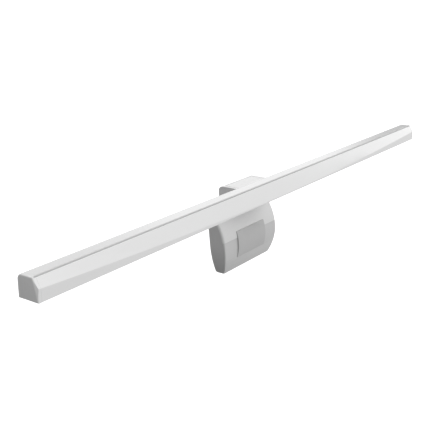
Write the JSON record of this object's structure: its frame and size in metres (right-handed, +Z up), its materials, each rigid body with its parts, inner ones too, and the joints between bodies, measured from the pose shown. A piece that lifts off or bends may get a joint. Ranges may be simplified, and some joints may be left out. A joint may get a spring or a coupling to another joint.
{
  "type": "monitor light bar",
  "caption": "Slim white lamp bar on a tilt hinge, with a short hook arm that rests on a monitor and a sprung grey counterweight clamp behind it.",
  "frame": {"origin": "centre of the arm's rest pad, on the face that lies on the monitor's top edge", "axes": "+X along the lamp bar, -Y towards the user, +Z up"},
  "size_m": [0.502, 0.0497, 0.077],
  "materials": {
    "bar_white": "fine satin",
    "diffuser_plastic": "translucent opal",
    "arm_white": "fine satin",
    "trim_grey": "fine satin",
    "clamp_grey": "fine satin",
    "panel_grey": "fine satin",
    "pad_rubber": "matte silicone",
    "steel": "plated",
    "screw_steel": "zinc plated",
    "aluminium": "mill finish",
    "board_white": "white solder mask",
    "board_green": "green solder mask",
    "led_yellow": "phosphor",
    "reflector_white": "bright white",
    "foam_black": "conductive foam",
    "inlet_black": "black insert",
    "nylon": "natural nylon"
  },
  "bodies": {
    "arm": {"arm_base": "arm_white", "arm_top_cover": "arm_white", "arm_stiffener": "steel", "arm_screws": "screw_steel", "rest_pad": "pad_rubber", "lip_pad": "pad_rubber", "tilt_pin": "steel", "tilt_washers": "nylon", "clamp_springs": "steel"},
    "bar": {"bar_housing": "bar_white", "front_cover": "bar_white", "diffuser": "diffuser_plastic", "end_cap_left": "bar_white", "end_cap_right": "bar_white", "heat_spreader": "aluminium", "led_board": "board_white", "led_chips": "led_yellow", "reflector": "reflector_white", "control_board": "board_green", "control_board_screws": "screw_steel", "touch_pads": "foam_black", "usb_c_shell": "steel", "usb_c_tongue": "inlet_black", "hinge_bracket": "arm_white", "hinge_bracket_screws": "screw_steel"},
    "clamp": {"clamp_front_trim": "trim_grey", "clamp_upper_shell": "clamp_grey", "clamp_rear_shell": "clamp_grey", "clamp_front_panel": "panel_grey", "clamp_pad": "pad_rubber", "counterweight": "steel", "clamp_screws": "screw_steel", "clamp_pin": "steel"}
  },
  "joints": [
    {"name": "bar_tilt", "type": "hinge", "parent": "arm", "child": "bar", "pos_m": [0, -0.0125, 0.009], "axis": [1, 0, 0], "range_deg": [-25, 20]},
    {"name": "clamp_swing", "type": "hinge", "parent": "arm", "child": "clamp", "pos_m": [0, 0.0114, -0.0087], "axis": [1, 0, 0], "range_deg": [0, 35], "stiffness_Nm_per_rad": 0.06, "springref_deg": -57.3}
  ]
}
